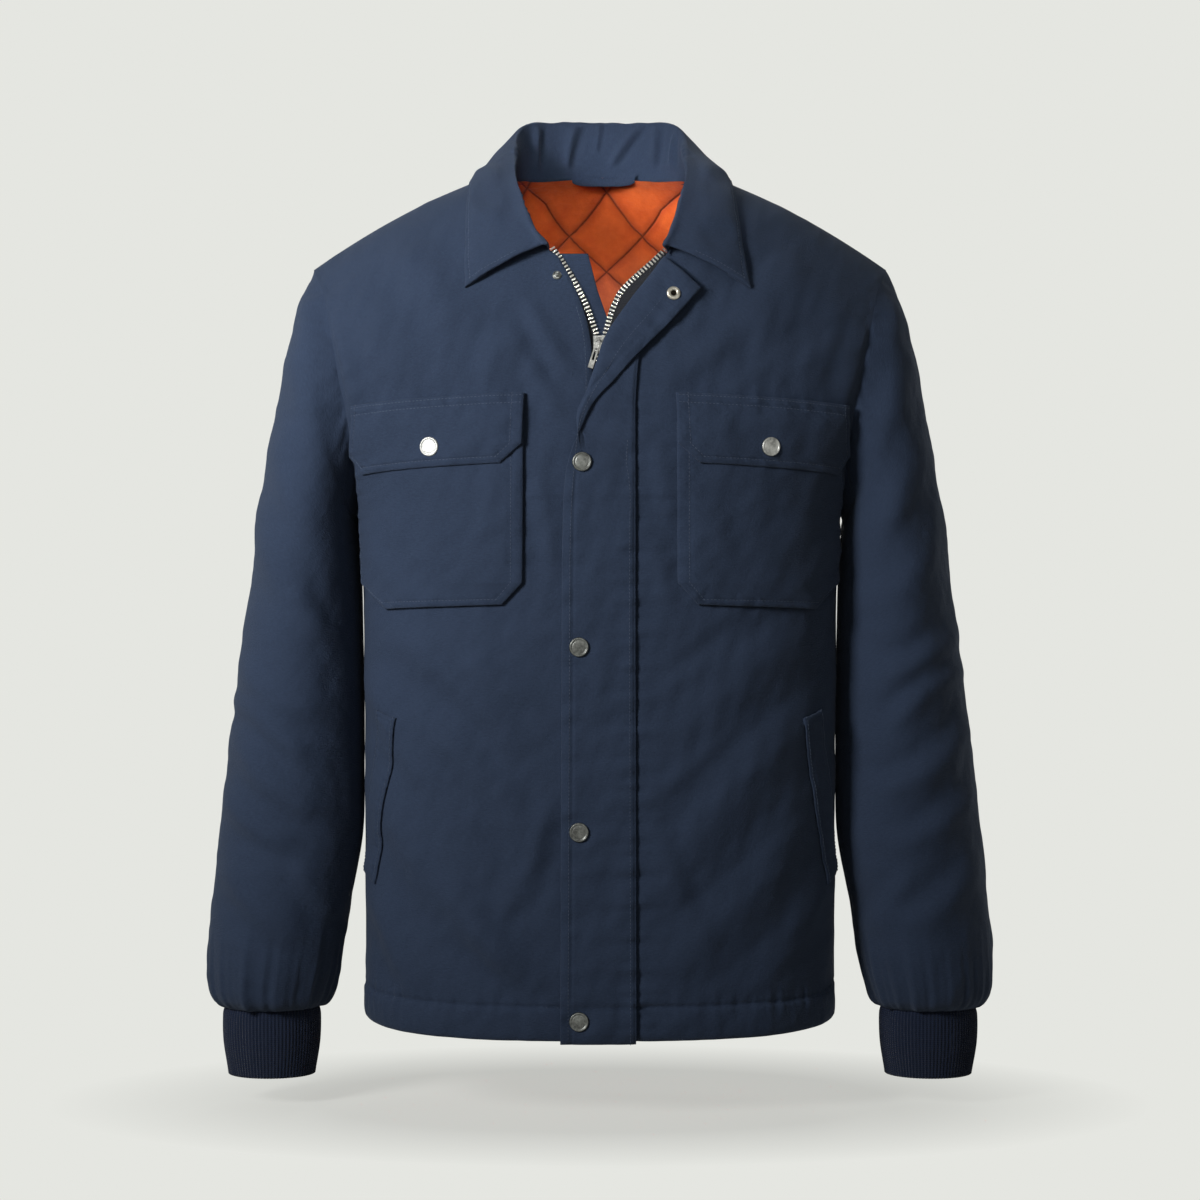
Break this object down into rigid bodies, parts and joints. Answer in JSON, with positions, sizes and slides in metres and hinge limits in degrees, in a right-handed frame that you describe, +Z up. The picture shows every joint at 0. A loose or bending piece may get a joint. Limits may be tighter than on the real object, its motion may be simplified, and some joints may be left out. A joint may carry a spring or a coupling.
{
  "type": "work jacket",
  "caption": "Navy twill work jacket with shirt collar, zip under a snap fly flap, flap chest pockets, slanted welt pockets, rib cuffs and quilted lining.",
  "frame": {"origin": "at the base of the neck, midway between the shoulders, where the wearer's neck and shoulders carry the jacket", "axes": "+Z up the jacket, the front faces -Y, the wearer's right side is at -X"},
  "size_m": [0.6536, 0.2618, 0.8059],
  "materials": {
    "navy_twill": "washed cotton-rich twill, matt",
    "navy_rib_knit": "fine rib knit, matt",
    "orange_lining": "smooth woven lining, diamond quilted, soft sheen",
    "navy_tape": "woven zip tape",
    "antique_metal": "antique nickel",
    "bright_metal": "polished nickel"
  },
  "bodies": {
    "jacket": {"front_right": "navy_twill", "front_left": "navy_twill", "back": "navy_twill", "sleeve_right": "navy_twill", "sleeve_left": "navy_twill", "cuff_right": "navy_rib_knit", "cuff_left": "navy_rib_knit", "collar": "navy_twill", "fly_flap": "navy_twill", "zip_guard": "navy_twill", "zip_tape_right": "navy_tape", "zip_tape_left": "navy_tape", "zip_slider": "antique_metal", "pocket_right": "navy_twill", "pocket_left": "navy_twill", "pocket_flap_right": "navy_twill", "pocket_flap_left": "navy_twill", "welt_right": "navy_twill", "welt_left": "navy_twill", "hanger_loop": "navy_twill", "lining_back": "orange_lining", "lining_right": "orange_lining", "lining_left": "orange_lining", "fly_snap_1": "antique_metal", "fly_snap_2": "antique_metal", "fly_snap_3": "antique_metal", "fly_snap_4": "antique_metal", "pocket_snap_right": "bright_metal", "pocket_snap_left": "antique_metal", "top_socket": "antique_metal", "top_stud": "antique_metal"},
    "pull": {"zip_pull": "antique_metal"}
  },
  "joints": [
    {"name": "zip_pull_swing", "type": "hinge", "parent": "jacket", "child": "pull", "pos_m": [-0.0006, -0.11863, -0.13763], "axis": [-1, 0, 0], "range_deg": [0, 150]}
  ]
}
